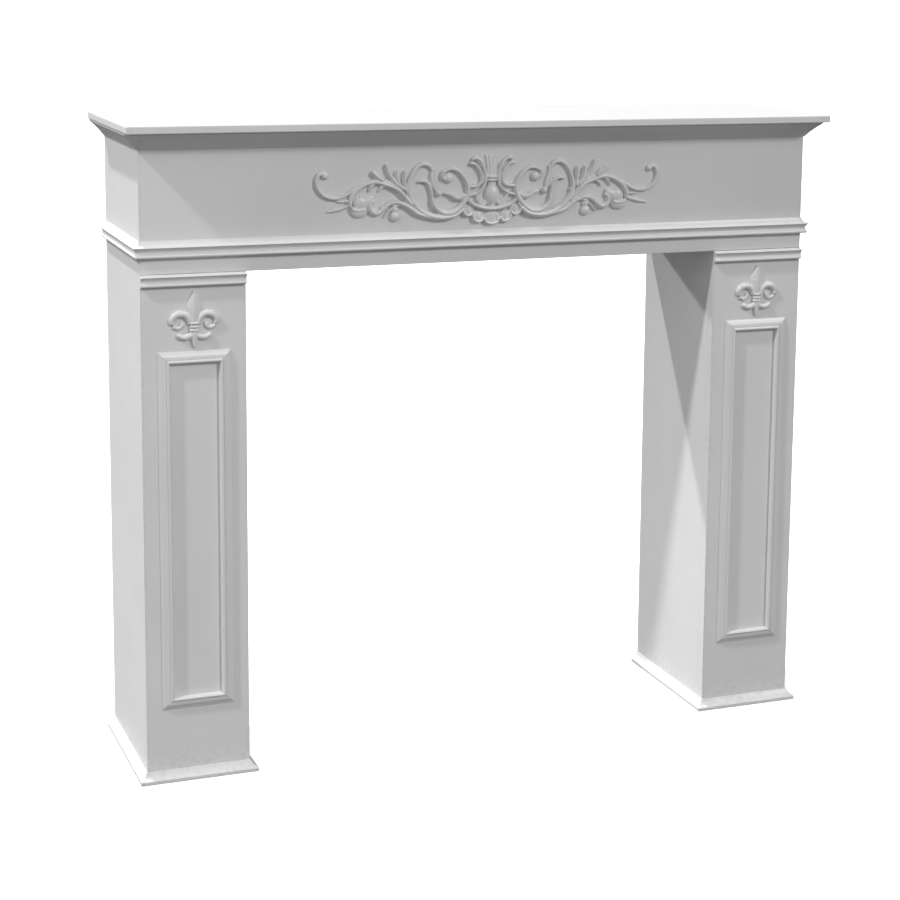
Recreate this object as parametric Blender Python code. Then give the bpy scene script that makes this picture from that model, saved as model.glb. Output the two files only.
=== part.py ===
"""A painted wooden fireplace mantelpiece: a moulded shelf on a boxed header that stands on two panelled legs.

Metres, +Z up. The front faces -Y. The origin is on the floor, below the middle of the whole piece's box.
"""
from math import cos, pi, radians, sin

import bmesh
import bpy
from mathutils import Vector

# Driving dimensions of the surround
HEIGHT = 1.050
SURROUND_WIDTH = 1.148
SURROUND_DEPTH = 0.275
LEG_WIDTH = 0.166
HEADER_HEIGHT = 0.220
BOARD = 0.018
JOINT_GAP = 0.0003
EDGE_ROUNDING = 0.0008

# Shelf
SHELF_THICKNESS = 0.012
SHELF_FRONT_OVERHANG = 0.046
SHELF_SIDE_OVERHANG = 0.026
SHELF_ROUNDING = 0.0015

# Cove under the shelf
COVE_HEIGHT = 0.027
COVE_PROJECTION = 0.024
COVE_FILLET = 0.003
COVE_TOE = 0.0015
COVE_HOLLOW = 0.0012

# Moulding round the header, and the shorter one that caps each leg
BAND_OVER_OPENING = 0.026
BAND_FACE = 0.0174
BAND_WEATHERING = 0.0095
BAND_PROJECTION = 0.0110
CAP_FACE = 0.0165
CAP_WEATHERING = 0.0025
CAP_PROJECTION = 0.0095
LIP_THICKNESS = 0.0016
NOSE_RADIUS = 0.0022
NOSE_SET_BACK = 0.0022
FACE_HOLLOW_SHARE = 0.30
WEATHERING_HOLLOW_SHARE = 0.25

# Plinth moulding round each foot
BASE_HEIGHT = 0.018
BASE_LIP = 0.006
BASE_PROJECTION = 0.012
BASE_TOE = 0.0015
BASE_HOLLOW = 0.0018

# Picture-frame moulding on each leg
PANEL_SIDE_MARGIN = 0.025
PANEL_TOP_MARGIN = 0.122
PANEL_BOTTOM = 0.119
PANEL_STICK_WIDTH = 0.020
PANEL_STICK_EDGE = 0.0012
PANEL_SLOPE = 0.0070
PANEL_SLOPE_HOLLOW = 0.0005
PANEL_SHOULDER = 0.0055
PANEL_FACE_HEIGHT = 0.0060
PANEL_QUIRK = 0.0006
PANEL_BEAD_RADIUS = 0.0026
PANEL_BEAD_CENTRE = 0.0052
PANEL_FALL = 0.0018

# Carved ornaments: the scroll on the header's face between two gaps, and the fleur-de-lis on each leg
SCROLL_TOP_GAP = 0.0180
SCROLL_BOTTOM_GAP = 0.0070
SCROLL_RELIEF = 0.009
SCROLL_PARTS_HIGH = 117
FLEUR_TIP_GAP = 0.0065
FLEUR_FOOT_GAP = 0.0045
FLEUR_RELIEF = 0.0065

# Fineness of the curved work
ARC_STEPS = 7
STROKE_SIDES = 10
STROKE_STEPS = 5
SCROLL_GRAIN = 0.0024
SCROLL_SHARE_KEPT = 0.11
FLEUR_GRAIN = 0.0020
FLEUR_SHARE_KEPT = 0.13

# Places worked out from the dimensions
FACE_Y = (SHELF_FRONT_OVERHANG - SURROUND_DEPTH) / 2
BACK_Y = FACE_Y + SURROUND_DEPTH
HALF_WIDTH = SURROUND_WIDTH / 2
LEG_INSIDE_X = HALF_WIDTH - LEG_WIDTH
LEG_CENTRE_X = HALF_WIDTH - LEG_WIDTH / 2
SHELF_UNDERSIDE = HEIGHT - SHELF_THICKNESS
OPENING_HEIGHT = SHELF_UNDERSIDE - HEADER_HEIGHT
BAND_BOTTOM = OPENING_HEIGHT + BAND_OVER_OPENING
BAND_TOP = BAND_BOTTOM + BAND_FACE + BAND_WEATHERING
COVE_BOTTOM = SHELF_UNDERSIDE - COVE_HEIGHT
CAP_BOTTOM = OPENING_HEIGHT - CAP_FACE - CAP_WEATHERING
PANEL_TOP = OPENING_HEIGHT - PANEL_TOP_MARGIN
PANEL_WIDTH = LEG_WIDTH - 2 * PANEL_SIDE_MARGIN
PANEL_HEIGHT = PANEL_TOP - PANEL_BOTTOM
MITRE_GAP = JOINT_GAP * 0.7071

X = Vector((1, 0, 0))
Y = Vector((0, 1, 0))
Z = Vector((0, 0, 1))

PAINT = (0.72, 0.72, 0.71, 1.0)
PAINT_ROUGHNESS = 0.42


def clear_scene():
    for thing in list(bpy.data.objects):
        bpy.data.objects.remove(thing, do_unlink=True)


def painted(name):
    """A material of its own for one piece: satin pale grey-white paint."""
    material = bpy.data.materials.new(name + "_paint")
    material.use_nodes = True
    shader = material.node_tree.nodes["Principled BSDF"]
    shader.inputs["Base Color"].default_value = PAINT
    shader.inputs["Roughness"].default_value = PAINT_ROUGHNESS
    shader.inputs["Metallic"].default_value = 0.0
    return material


def finish(name, mesh_builder, rounded=False):
    """Turns a bmesh into the named piece, with its faces pointing out."""
    bmesh.ops.recalc_face_normals(mesh_builder, faces=mesh_builder.faces)
    mesh = bpy.data.meshes.new(name)
    mesh_builder.to_mesh(mesh)
    mesh_builder.free()
    if rounded:
        mesh.shade_smooth()
    piece = bpy.data.objects.new(name, mesh)
    piece.data.materials.append(painted(name))
    bpy.context.scene.collection.objects.link(piece)
    return piece


def board(name, low, high, eased=(), radius=EDGE_ROUNDING, steps=1):
    """A rectangular board between two corners.

    Each entry of eased names two of its faces, such as ("-x", "-y"), whose shared edge is rounded over.
    """
    builder = bmesh.new()
    bmesh.ops.create_cube(builder, size=1.0)
    low, high = Vector(low), Vector(high)
    for vertex in builder.verts:
        for axis in range(3):
            vertex.co[axis] = high[axis] if vertex.co[axis] > 0 else low[axis]

    def on_face(edge, face):
        axis = "xyz".index(face[1])
        place = high[axis] if face[0] == "+" else low[axis]
        return all(abs(end.co[axis] - place) < 1e-7 for end in edge.verts)

    edges = [edge for edge in builder.edges if any(on_face(edge, a) and on_face(edge, b) for a, b in eased)]
    if edges:
        bmesh.ops.bevel(builder, geom=edges, offset=radius, segments=steps, profile=0.5, affect="EDGES")
    return finish(name, builder)


def prism(name, section, start, end):
    """A straight length of moulding: the section's points, placed by start and by end, and joined."""
    builder = bmesh.new()
    first = [builder.verts.new(start(a, b)) for a, b in section]
    last = [builder.verts.new(end(a, b)) for a, b in section]
    count = len(section)
    for i in range(count):
        j = (i + 1) % count
        builder.faces.new((first[i], first[j], last[j], last[i]))
    builder.faces.new(first)
    builder.faces.new(list(reversed(last)))
    return finish(name, builder)


def hollow(a, b, sag, steps=ARC_STEPS):
    """Points from a to b on an arc that bows by sag to the left of the way from a to b."""
    a, b = Vector(a), Vector(b)
    way = b - a
    side = Vector((-way.y, way.x)).normalized()
    points = []
    for i in range(steps + 1):
        share = i / steps
        points.append(tuple(a + way * share + side * sag * sin(pi * share)))
    return points


def cove_section():
    """Projection and height, down from the shelf: a short fillet and a shallow hollow."""
    top = SHELF_UNDERSIDE - JOINT_GAP
    curve = hollow((COVE_PROJECTION, top - COVE_FILLET), (COVE_TOE, COVE_BOTTOM), -COVE_HOLLOW)
    return [(JOINT_GAP, top), (COVE_PROJECTION, top)] + curve + [(JOINT_GAP, COVE_BOTTOM)]


def run_section(bottom, face, weathering, projection):
    """Projection and height, up from the bottom: a round nose, a hollow face, a lip and a sloped top."""
    lip_top = bottom + face
    reach = projection - NOSE_SET_BACK
    nose = [(reach - NOSE_RADIUS + NOSE_RADIUS * cos(t), bottom + NOSE_RADIUS + NOSE_RADIUS * sin(t))
            for t in (radians(-90 + 90 * i / ARC_STEPS) for i in range(ARC_STEPS + 1))]
    face_hollow = hollow((reach, bottom + 1.6 * NOSE_RADIUS), (projection - 0.6 * LIP_THICKNESS,
                         lip_top - LIP_THICKNESS), FACE_HOLLOW_SHARE * projection)
    slope = hollow((projection - 0.5 * LIP_THICKNESS, lip_top), (2 * JOINT_GAP, lip_top + weathering),
                   WEATHERING_HOLLOW_SHARE * weathering)
    lip = [(projection, lip_top - 0.6 * LIP_THICKNESS)]
    return [(JOINT_GAP, bottom)] + nose + face_hollow + lip + slope + [(JOINT_GAP, lip_top + weathering)]


def base_section():
    """Projection and height, up from the floor: a square lip and a hollow slope back to the leg."""
    slope = hollow((BASE_PROJECTION, BASE_LIP), (BASE_TOE, BASE_HEIGHT), BASE_HOLLOW)
    return [(JOINT_GAP, 0.0), (BASE_PROJECTION, 0.0)] + slope + [(JOINT_GAP, BASE_HEIGHT)]


def panel_section():
    """Distance in from the frame's outer edge, and projection: a slope, a flat face, a bead and a steep fall."""
    slope = hollow((0.0, PANEL_STICK_EDGE), (PANEL_SLOPE, PANEL_SHOULDER), -PANEL_SLOPE_HOLLOW)
    middle = PANEL_STICK_WIDTH - PANEL_FALL - PANEL_BEAD_RADIUS
    face_end = (middle - PANEL_BEAD_RADIUS - PANEL_QUIRK, PANEL_FACE_HEIGHT)
    bead = [(middle - PANEL_BEAD_RADIUS * cos(t), PANEL_BEAD_CENTRE + PANEL_BEAD_RADIUS * sin(t))
            for t in (pi * i / ARC_STEPS for i in range(ARC_STEPS + 1))]
    fall = [(PANEL_STICK_WIDTH, PANEL_STICK_EDGE), (PANEL_STICK_WIDTH, JOINT_GAP)]
    return [(0.0, JOINT_GAP)] + slope + [face_end] + bead + fall


def run_across(name, section, left, right, face_y=FACE_Y, mitred=True):
    """A moulding along a front face, from x = left to x = right, with outside mitres or square ends."""
    grow = 1 if mitred else 0
    trim = MITRE_GAP if mitred else 0.0
    return prism(name, section,
                 lambda out, z: Vector((left - grow * out + trim, face_y - out, z)),
                 lambda out, z: Vector((right + grow * out - trim, face_y - out, z)))


def run_back(name, section, side, face_x, front_y=FACE_Y):
    """A moulding along a side face, from its front mitre to the square end at the back.

    Side is -1 where it projects towards -X, and 1 towards +X.
    """
    return prism(name, section,
                 lambda out, z: Vector((face_x + side * out, front_y - out + MITRE_GAP, z)),
                 lambda out, z: Vector((face_x + side * out, BACK_Y, z)))


def make_shelf():
    half = HALF_WIDTH + SHELF_SIDE_OVERHANG
    eased = [("+z", "-y"), ("-z", "-y"), ("+z", "-x"), ("-z", "-x"), ("+z", "+x"), ("-z", "+x"), ("-x", "-y"),
             ("+x", "-y")]
    board("shelf", (-half, FACE_Y - SHELF_FRONT_OVERHANG, SHELF_UNDERSIDE), (half, BACK_Y, HEIGHT), eased,
          SHELF_ROUNDING, 2)


def make_header():
    top = SHELF_UNDERSIDE - JOINT_GAP
    inner_y = FACE_Y + BOARD + JOINT_GAP
    board("header_front", (-HALF_WIDTH, FACE_Y, OPENING_HEIGHT), (HALF_WIDTH, FACE_Y + BOARD, top),
          [("-x", "-y"), ("+x", "-y"), ("-y", "-z")])
    for name, side in (("header_left", -1), ("header_right", 1)):
        faces = sorted((side * HALF_WIDTH, side * (HALF_WIDTH - BOARD)))
        board(name, (faces[0], inner_y, OPENING_HEIGHT), (faces[1], BACK_Y, top))
    inner_x = HALF_WIDTH - BOARD - JOINT_GAP
    board("header_bottom", (-inner_x, inner_y, OPENING_HEIGHT), (inner_x, BACK_Y, OPENING_HEIGHT + BOARD))


def make_run(name, section):
    """One moulding round the header's front and both sides."""
    run_across(name + "_front", section, -HALF_WIDTH, HALF_WIDTH)
    run_back(name + "_left", section, -1, -HALF_WIDTH)
    run_back(name + "_right", section, 1, HALF_WIDTH)


def make_leg(word, side):
    """A three-sided box, open behind: the front board covers the edges of the two side boards."""
    top = OPENING_HEIGHT - JOINT_GAP
    outer_x, inner_x = side * HALF_WIDTH, side * LEG_INSIDE_X
    low_x, high_x = sorted((outer_x, inner_x))
    board("leg_" + word + "_front", (low_x, FACE_Y, 0.0), (high_x, FACE_Y + BOARD, top),
          [("-x", "-y"), ("+x", "-y")])
    inner_y = FACE_Y + BOARD + JOINT_GAP
    for place, x, inwards in (("outer", outer_x, -side), ("inner", inner_x, side)):
        faces = sorted((x, x + inwards * BOARD))
        board("leg_" + word + "_" + place, (faces[0], inner_y, 0.0), (faces[1], BACK_Y, top))


def make_cap(word, side):
    """The moulding at the top of a leg, on its front alone, cut square at the leg's two edges."""
    section = run_section(CAP_BOTTOM, CAP_FACE, CAP_WEATHERING, CAP_PROJECTION)
    left, right = sorted((side * HALF_WIDTH, side * LEG_INSIDE_X))
    run_across("cap_" + word, section, left, right, mitred=False)


def make_base(word, side):
    """The plinth moulding round a foot's front, outer and inner faces."""
    section = base_section()
    left, right = sorted((side * HALF_WIDTH, side * LEG_INSIDE_X))
    run_across("base_" + word + "_front", section, left, right)
    run_back("base_" + word + "_outer", section, side, side * HALF_WIDTH)
    run_back("base_" + word + "_inner", section, -side, side * LEG_INSIDE_X)


def make_panel(word, side):
    """Four mitred sticks that frame the flat panel on the front of a leg."""
    section = panel_section()
    centre = Vector((side * LEG_CENTRE_X, FACE_Y, PANEL_BOTTOM + PANEL_HEIGHT / 2))
    sticks = (("bottom", X, Z, PANEL_WIDTH, PANEL_HEIGHT), ("top", X, -Z, PANEL_WIDTH, PANEL_HEIGHT),
              ("left", Z, X, PANEL_HEIGHT, PANEL_WIDTH), ("right", Z, -X, PANEL_HEIGHT, PANEL_WIDTH))
    for place, along, inwards, length, span in sticks:
        corner = centre - inwards * (span / 2)

        def point(inward, out, end, corner=corner, along=along, inwards=inwards, length=length):
            reach = length / 2 - inward - MITRE_GAP
            return corner + inwards * inward + along * (end * reach) - Y * out

        prism("panel_" + word + "_" + place, section,
              lambda a, b, point=point: point(a, b, -1),
              lambda a, b, point=point: point(a, b, 1))


def smooth_path(points, steps=STROKE_STEPS):
    """Catmull-Rom curve through a few points."""
    ends = [points[0] * 2 - points[1]] + points + [points[-1] * 2 - points[-2]]
    path = []
    for a, b, c, d in zip(ends, ends[1:], ends[2:], ends[3:]):
        for i in range(steps):
            t = i / steps
            path.append(0.5 * (2 * b + (c - a) * t + (2 * a - 5 * b + 4 * c - d) * t * t
                               + (3 * b - a - 3 * c + d) * t ** 3))
    return path + [points[-1]]


def blend_value(values, share):
    """The value at a share of the way along a short list."""
    place = share * (len(values) - 1)
    i = min(int(place), len(values) - 2)
    return values[i] + (values[i + 1] - values[i]) * (place - i)


class Ornament:
    """A carved ornament on a face: swollen strokes and domes, drawn on a grid and fused into one body.

    The grid's unit is one part of the ornament's length. Its own x runs outwards and its y upwards from an
    anchor on the face, and a mirrored stroke is drawn again on the other side of the centre line.
    """

    def __init__(self, anchor, part, relief):
        self.builder = bmesh.new()
        self.anchor = Vector(anchor)
        self.part = part
        self.relief = relief

    def place(self, u, v, out, side):
        return self.anchor + Vector((side * u * self.part, -out, v * self.part))

    def stroke(self, points, widths, heights=(1.0,), mirrored=True):
        """A rounded stem or leaf: half widths in parts, and heights as shares of the relief."""
        heights = heights * 2 if len(heights) == 1 else heights
        path = smooth_path([Vector(point) for point in points])
        for side in (-1, 1) if mirrored else (1,):
            rings = []
            for i, point in enumerate(path):
                share = i / (len(path) - 1)
                way = (path[min(i + 1, len(path) - 1)] - path[max(i - 1, 0)]).normalized()
                across = Vector((-way.y, way.x))
                width, height = blend_value(widths, share), blend_value(heights, share) * self.relief
                ring = []
                for k in range(STROKE_SIDES):
                    angle = 2 * pi * k / STROKE_SIDES
                    spot = point + across * (width * cos(angle))
                    ring.append(self.builder.verts.new(self.place(spot.x, spot.y, height * sin(angle), side)))
                rings.append(ring)
            for ring, after in zip(rings, rings[1:]):
                for k in range(STROKE_SIDES):
                    j = (k + 1) % STROKE_SIDES
                    self.builder.faces.new((ring[k], ring[j], after[j], after[k]))
            self.builder.faces.new(rings[0])
            self.builder.faces.new(list(reversed(rings[-1])))

    def arc(self, centre, radii, angles, widths, heights=(1.0,), turns=6, mirrored=True):
        """A stroke along an arc or spiral: radii and angles, in degrees, at its two ends."""
        points = []
        for i in range(turns + 1):
            share = i / turns
            angle = radians(angles[0] + (angles[1] - angles[0]) * share)
            radius = radii[0] + (radii[1] - radii[0]) * share
            points.append((centre[0] + radius * cos(angle), centre[1] + radius * sin(angle)))
        self.stroke(points, widths, heights, mirrored)

    def dome(self, centre, half_width, half_height, height=1.0, mirrored=True):
        """A round boss or bud: its half sizes in parts, its height as a share of the relief."""
        for side in (-1, 1) if mirrored else (1,):
            made = bmesh.ops.create_uvsphere(self.builder, u_segments=12, v_segments=8, radius=1.0)
            for vertex in made["verts"]:
                u, out, v = vertex.co
                vertex.co = self.place(centre[0] + u * half_width, centre[1] + v * half_height,
                                       out * height * self.relief, side)

    def carve(self, name, grain, share_kept):
        """Fuses the strokes into one body, thins its faces and cuts it flat, a joint's gap off the face."""
        piece = finish(name, self.builder, rounded=True)
        fuse = piece.modifiers.new("fuse", "REMESH")
        fuse.mode = "VOXEL"
        fuse.voxel_size = grain
        fuse.use_smooth_shade = True
        thin = piece.modifiers.new("thin", "DECIMATE")
        thin.ratio = share_kept
        reach = 2 * self.relief
        box = [vertex.co for vertex in piece.data.vertices]
        low = (min(p.x for p in box) - reach, self.anchor.y - JOINT_GAP, min(p.z for p in box) - reach)
        high = (max(p.x for p in box) + reach, self.anchor.y + 2 * reach, max(p.z for p in box) + reach)
        cutter = board(name + "_back_cutter", low, high)
        cutter.hide_render = True
        cutter.display_type = "WIRE"
        cut = piece.modifiers.new("flat_back", "BOOLEAN")
        cut.operation = "DIFFERENCE"
        cut.solver = "EXACT"
        cut.object = cutter
        return piece


def make_scroll():
    """The acanthus scroll on the header's face, drawn on parts of its own height."""
    bottom = BAND_TOP + SCROLL_BOTTOM_GAP
    part = (COVE_BOTTOM - SCROLL_TOP_GAP - bottom) / SCROLL_PARTS_HIGH
    scroll = Ornament((0, FACE_Y, bottom + 4 * part), part, SCROLL_RELIEF)
    # Middle: a flared stem with two bars, a boss with side leaves in a cradle, and the shell below it
    scroll.stroke([(0, 112), (0, 100), (0, 88), (0, 60), (0, 23)], (14, 9.5, 7.5, 7, 6), (0.5, 0.7, 0.8),
                  mirrored=False)
    for v in (75.5, 70):
        scroll.stroke([(-8.5, v), (8.5, v)], (2.3, 2.3), (1.0,), mirrored=False)
    scroll.dome((0, 45), 14, 18, 1.1, mirrored=False)
    scroll.stroke([(9, 31), (18, 34), (25, 41), (28, 50)], (4, 5, 4.5, 2), (0.7,))
    scroll.stroke([(-42, 38), (-34, 31.5), (-24, 27), (-12, 24), (0, 23), (12, 24), (24, 27), (34, 31.5),
                   (42, 38)], (3.5, 4, 4, 4, 3.5), (1.1,), mirrored=False)
    scroll.dome((0, 8), 14.5, 12, 0.8, mirrored=False)
    scroll.dome((24, 10), 12, 10, 0.8)
    scroll.dome((41, 21), 11.5, 11.5, 0.8)
    # Volute on each side of the stem: one C inside another
    scroll.stroke([(40, 99), (31, 97), (24, 90), (19.5, 82), (18, 73), (20, 66), (27, 61), (40, 60)], (3, 3),
                  (0.8,))
    scroll.stroke([(36, 104), (29, 107), (20, 101), (14, 89), (11.5, 76), (13, 64), (19, 55), (28, 49),
                   (41, 45)], (3.1, 3.1), (0.8,))
    # Ring that opens above, its bulb, the ball inside it and the leaves that grow out of the ball
    scroll.stroke([(79, 88), (71, 90), (62.5, 88), (53.5, 81), (46.5, 71), (42.5, 59.5), (43.3, 46.5),
                   (50, 35), (58.4, 26), (68.5, 19), (79, 17.5), (89, 20), (98.5, 27.5), (103.5, 36),
                   (104.5, 45.5)],
                  (3, 3.2, 3.4, 3.8, 4, 4.2, 4.6, 5.2, 6, 6.5, 6.5, 5.5, 4.5, 4, 3.5),
                  (0.7, 0.8, 0.9, 1.0, 1.1, 1.2, 1.2, 1.1, 0.9))
    scroll.dome((76.5, 74.5), 8, 8.5, 0.8)
    scroll.stroke([(79, 88), (86, 85), (87, 77), (82, 72)], (3, 3), (0.8,))
    scroll.dome((93.5, 50.5), 5.5, 5.5, 1.0)
    scroll.stroke([(84, 50), (75.5, 49), (69, 46), (62.5, 42.5), (54.5, 43), (46, 48)], (1.8, 4, 5, 5.5, 5, 4),
                  (0.6, 0.8, 1.0, 1.0, 0.9))
    scroll.stroke([(96, 54), (100, 66), (104, 79), (102, 93)], (4, 6.5, 5.5, 2), (0.6,))
    # Large C scroll, and the twig that ties it to the ring
    scroll.stroke([(105, 88), (109, 96), (121, 99), (133, 91.5), (141.5, 76), (144.5, 60), (141, 44), (130, 28.5),
                   (115, 17.5), (97, 11.5), (79, 11), (63, 15), (50, 25)],
                  (3, 4.5, 4, 3.6, 3.8, 4.2, 5, 6, 6, 5.5, 5, 4, 3.5),
                  (0.6, 0.7, 0.7, 0.8, 0.9, 1.0, 1.2, 1.2, 1.1))
    scroll.stroke([(129, 70), (121, 71.5), (113, 68.5), (108.5, 61), (106, 52), (104.5, 43)],
                  (2.2, 3, 3.5, 3.5, 3, 3), (0.75,))
    # Stem that waves outwards, with its bud
    scroll.stroke([(104, 11), (128, 18), (138, 25), (148, 31.5), (158, 36), (167, 38), (176, 36.5), (184, 31),
                   (190, 24)], (4, 4.2, 4.3, 4.5, 4.6, 4.6, 4.4, 4, 3.6), (1.0, 1.0, 0.9, 0.85))
    scroll.stroke([(158, 34), (169, 31), (179, 23), (188, 13)], (2.5, 3.2, 3, 1.6), (0.6, 0.7, 0.7, 0.5))
    scroll.dome((168, 15), 9, 9, 0.9)
    scroll.dome((168, 26), 7, 5, 0.7)
    scroll.stroke([(172, 36), (170, 30), (168, 22)], (3, 2.6, 3), (0.7,))
    # Fan on a short root: a bud on its stem and three leaflets
    scroll.stroke([(137, 50), (143, 53), (149, 57)], (3, 3), (0.7,))
    scroll.stroke([(149, 57), (165, 66), (186, 74)], (2.2, 2.2), (0.5,))
    scroll.stroke([(187, 72), (198, 80.5), (208, 89)], (4, 6.5, 4.5), (1.0,))
    scroll.stroke([(149, 57), (163, 66), (172, 75), (179, 86), (184, 101)], (2.5, 3.4, 4, 4, 2), (0.85,))
    scroll.stroke([(149, 57), (159, 65), (164.5, 76), (166, 90)], (2.5, 3.4, 4.2, 2.6), (0.85,))
    scroll.stroke([(149, 57), (151.5, 66), (152, 78), (152, 90)], (2.4, 3.2, 3.4, 2.2), (0.85,))
    # Arched leaf: its ridge, the points under it, its body, its rolled lobe and its curl
    scroll.stroke([(139, 32), (146, 40), (155, 51), (166, 60), (182, 66.5), (200, 71.5), (215, 69.5), (229, 62.5),
                   (239, 53), (244, 42), (243, 32)], (3.4, 4, 4, 4, 4, 4, 4.3, 4.5, 4.5, 4.5, 4),
                  (1.0, 1.0, 1.0, 0.9, 0.85, 0.8, 0.75, 0.75, 0.75, 0.7))
    scroll.stroke([(184, 66), (192, 62), (197, 55)], (3.2, 3.4, 1.6), (0.7, 0.65, 0.5))
    scroll.stroke([(201, 70), (209, 64), (213, 55)], (3.4, 3.6, 1.8), (0.7, 0.65, 0.5))
    scroll.stroke([(204, 49), (212, 42.5), (222, 38), (238, 38)], (4, 9, 13, 9), (0.5, 0.7, 0.8, 0.7))
    scroll.dome((229, 24), 15, 10, 0.8)
    scroll.stroke([(243, 31), (236, 27), (227, 26.5), (217, 28)], (3.5, 3.5), (0.95,))
    scroll.arc((199.5, 32), (10.5, 10.5), (75, -185), (3.4, 4.5, 5.5, 4.8, 3.6), (0.65, 0.8, 0.95, 0.8))
    # Tendril with its bulb, and the two small leaves below it
    scroll.stroke([(232, 63), (241, 58), (251, 52), (263, 47.5), (276, 47.5), (287, 52), (295.5, 60), (299.5, 70),
                   (299, 80), (293.5, 87), (286, 86)], (3, 3.4, 3.6, 3.8, 3.8, 3.6, 3.4, 3.4, 3.4, 4, 5),
                  (0.7, 0.7, 0.7, 0.6))
    scroll.dome((285.5, 83.5), 6, 6, 0.65)
    scroll.stroke([(243, 42), (256, 41), (267, 41.5)], (3, 2.8, 1.5), (0.6, 0.5, 0.35))
    scroll.stroke([(242, 35), (254, 31.5), (265, 28.5), (274, 27), (283, 24.5)], (3, 3, 4.2, 3.6, 1.6),
                  (0.55, 0.55, 0.6, 0.5, 0.35))
    scroll.carve("scroll_applique", SCROLL_GRAIN, SCROLL_SHARE_KEPT)


def make_fleur(word, side):
    """A fleur-de-lis under a cap, drawn on 100 parts of its own height."""
    bottom = PANEL_TOP + FLEUR_FOOT_GAP
    part = (CAP_BOTTOM - FLEUR_TIP_GAP - bottom) / 100
    fleur = Ornament((side * LEG_CENTRE_X, FACE_Y, bottom), part, FLEUR_RELIEF)
    # Middle petal, the two side petals and their curled ends, the binding, the feet and the stem
    fleur.stroke([(0, 99), (0, 90), (0, 82), (0, 73), (0, 62), (0, 50), (0, 40)], (1.5, 7, 11, 13, 11.5, 9, 7),
                 (0.5, 0.8, 0.9, 1.0, 1.0, 0.9, 0.8), mirrored=False)
    fleur.stroke([(6, 40), (9.5, 51), (18, 58.5), (30, 58), (38, 49.5), (36, 40)], (4.5, 5.5, 6, 6.3, 6, 4.5),
                 (0.8, 0.85, 0.95, 1.0, 0.85, 0.7))
    fleur.stroke([(36, 40), (31.5, 36), (25.5, 35.5), (21, 39.5), (20, 46)], (4.2, 4, 4.2, 4.2, 3.8),
                 (0.7, 0.6, 0.6, 0.65, 0.6))
    for v, half_width in ((43, 2.6), (37, 3), (31, 2.6)):
        fleur.stroke([(-7.8, v), (7.8, v)], (half_width, half_width), (1.0,), mirrored=False)
    fleur.stroke([(4, 24), (12, 19.5), (21, 19.5), (29, 25)], (5, 5.6, 5.2, 4.4), (0.8, 0.9, 0.9, 0.8))
    fleur.stroke([(0, 32), (0, 20), (0, 10), (0, 1)], (7, 7.4, 5.6, 2.5), (0.9, 0.85, 0.7, 0.5),
                 mirrored=False)
    fleur.carve("fleur_" + word, FLEUR_GRAIN, FLEUR_SHARE_KEPT)


def main():
    clear_scene()
    make_shelf()
    make_header()
    make_run("cove", cove_section())
    make_run("band", run_section(BAND_BOTTOM, BAND_FACE, BAND_WEATHERING, BAND_PROJECTION))
    make_scroll()
    for word, side in (("left", -1), ("right", 1)):
        make_leg(word, side)
        make_cap(word, side)
        make_fleur(word, side)
        make_panel(word, side)
        make_base(word, side)


main()
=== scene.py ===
# %% [markdown]
# A white painted fireplace mantelpiece, dressed for its picture. The wooden boards come from the packed
# model, and this lesson adds what a CAD solid can't show: smooth run mouldings, carved scrolls with veins
# and fluted stems, and a sprayed paint with its small unevenness. It starts by loading the model as a fixed
# frame.

from math import atan2, cos, pi, radians, sin

import bmesh
import bpy
import numpy as np
from mathutils import Matrix, Quaternion, Vector


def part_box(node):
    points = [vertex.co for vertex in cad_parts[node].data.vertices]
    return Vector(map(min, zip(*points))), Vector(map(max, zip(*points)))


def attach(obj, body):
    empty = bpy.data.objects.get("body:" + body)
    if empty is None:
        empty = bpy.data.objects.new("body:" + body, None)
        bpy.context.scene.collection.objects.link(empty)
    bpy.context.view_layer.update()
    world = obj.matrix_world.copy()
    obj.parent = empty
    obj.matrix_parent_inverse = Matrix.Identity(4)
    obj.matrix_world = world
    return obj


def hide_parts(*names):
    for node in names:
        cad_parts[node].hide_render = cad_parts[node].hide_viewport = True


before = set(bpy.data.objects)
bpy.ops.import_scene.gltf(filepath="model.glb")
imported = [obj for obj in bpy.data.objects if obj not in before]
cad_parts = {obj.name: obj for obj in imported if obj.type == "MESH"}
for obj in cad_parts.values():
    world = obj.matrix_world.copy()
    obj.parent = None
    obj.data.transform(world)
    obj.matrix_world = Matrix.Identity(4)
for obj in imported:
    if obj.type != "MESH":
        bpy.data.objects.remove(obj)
scene = bpy.context.scene
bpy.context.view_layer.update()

# %% [markdown]
# The camera stands to the left of the mantelpiece, a little above the shelf, and looks down at it by nine
# degrees. The picture was cropped off centre, so the lens is shifted, but by less than the picture alone
# would ask for, because a large shift pushes the object out of view from behind. The place was worked out
# from the edges of the boards, so the numbers are exact rather than round.

# %% Camera
CAMERA_PLACE = (-1.2052, -3.3047, 1.3116)
CAMERA_TURN = 22.6166
CAMERA_TILT = -9.1451
CAMERA_ROLL = 0.9153
LENS = 84.247
LENS_SHIFT = (-0.1222, -0.1722)

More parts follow.
